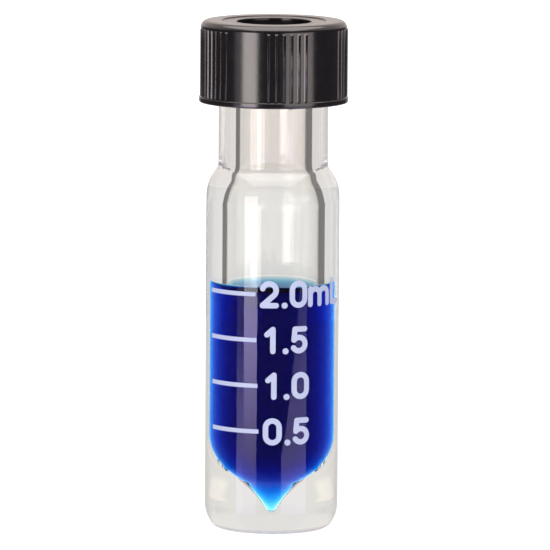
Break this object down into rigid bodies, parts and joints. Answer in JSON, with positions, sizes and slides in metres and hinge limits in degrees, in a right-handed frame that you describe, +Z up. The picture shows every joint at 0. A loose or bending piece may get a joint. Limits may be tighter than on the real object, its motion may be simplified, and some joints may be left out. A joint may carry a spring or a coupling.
{
  "type": "glass sample vial",
  "caption": "Heavy-walled glass vial with a conical floor, printed volume scale, blue sample, septum and an open-top screw cap that unscrews along its thread.",
  "frame": {"origin": "centre of the flat foot", "axes": "+Z up the vial's axis to the cap; the printed scale faces -Y"},
  "size_m": [0.0176, 0.0176, 0.06],
  "materials": {
    "glass": "clear polished borosilicate glass",
    "print": "fired white enamel",
    "liquid": "clear blue liquid",
    "septum": "soft matte silicone",
    "cap": "satin moulded phenolic"
  },
  "bodies": {
    "vial": {"glass_vial": "glass", "sample_liquid": "liquid", "volume_scale": "print"},
    "septum": {"septum": "septum"},
    "cap": {"screw_cap": "cap"}
  },
  "joints": [
    {"name": "cap_rise", "type": "slide", "parent": "vial", "child": "septum", "axis": [0, 0, 1], "range_m": [0, 0.00847]},
    {"name": "cap_turn", "type": "hinge", "parent": "septum", "child": "cap", "pos_m": [0, 0, 0.055], "axis": [0, 0, 1], "range_deg": [0, 1440]}
  ],
  "couplings": [
    {"joint": "cap_turn", "follows": "cap_rise", "rad_per_m": 2968}
  ]
}
